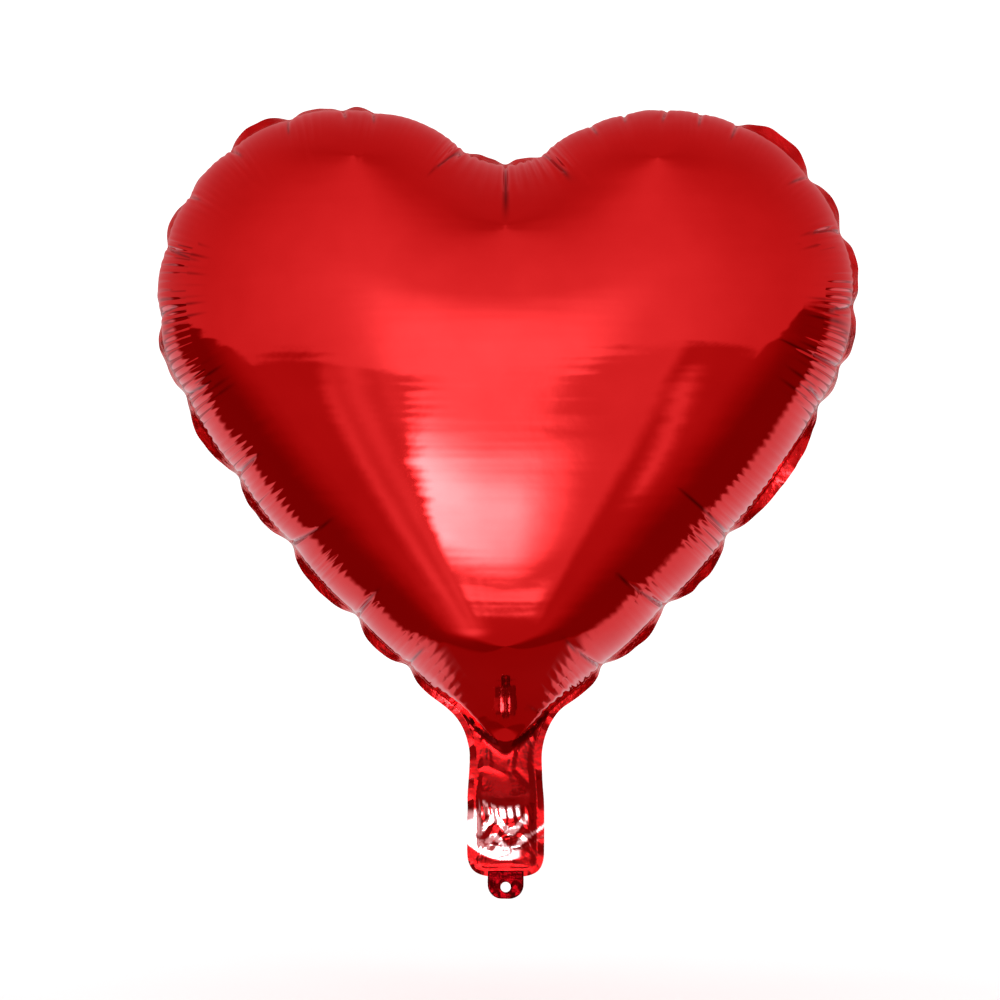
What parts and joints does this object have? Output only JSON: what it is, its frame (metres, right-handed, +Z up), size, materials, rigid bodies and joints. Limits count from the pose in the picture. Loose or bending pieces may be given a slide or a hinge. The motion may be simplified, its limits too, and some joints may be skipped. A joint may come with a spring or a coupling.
{
  "type": "heart-shaped foil balloon",
  "caption": "Inflated heart-shaped foil balloon with puckered seam, sealed filling tail and a tie hole in its end tab.",
  "frame": {"origin": "centre of the tie hole in the tab at the lower end of the tail, on the seam plane", "axes": "+X to the viewer's right, +Y through the balloon from its front to its rear, +Z up from the tie hole to the lobes"},
  "size_m": [0.372, 0.193, 0.4199],
  "materials": {
    "red_foil": "mirror-bright red metallised film",
    "valve_film": "clear polyethylene film"
  },
  "bodies": {
    "heart": {"front_panel": "red_foil", "rear_panel": "red_foil", "valve_sleeve_front": "valve_film", "valve_sleeve_rear": "valve_film"},
    "tail": {"tail_front_ply": "red_foil", "tail_rear_ply": "red_foil", "valve_inlet_front": "valve_film", "valve_inlet_rear": "valve_film"}
  },
  "joints": [
    {"name": "tail_fold", "type": "hinge", "parent": "heart", "child": "tail", "pos_m": [0, 0, 0.062], "axis": [1, 0, 0], "range_deg": [-90, 90]}
  ]
}
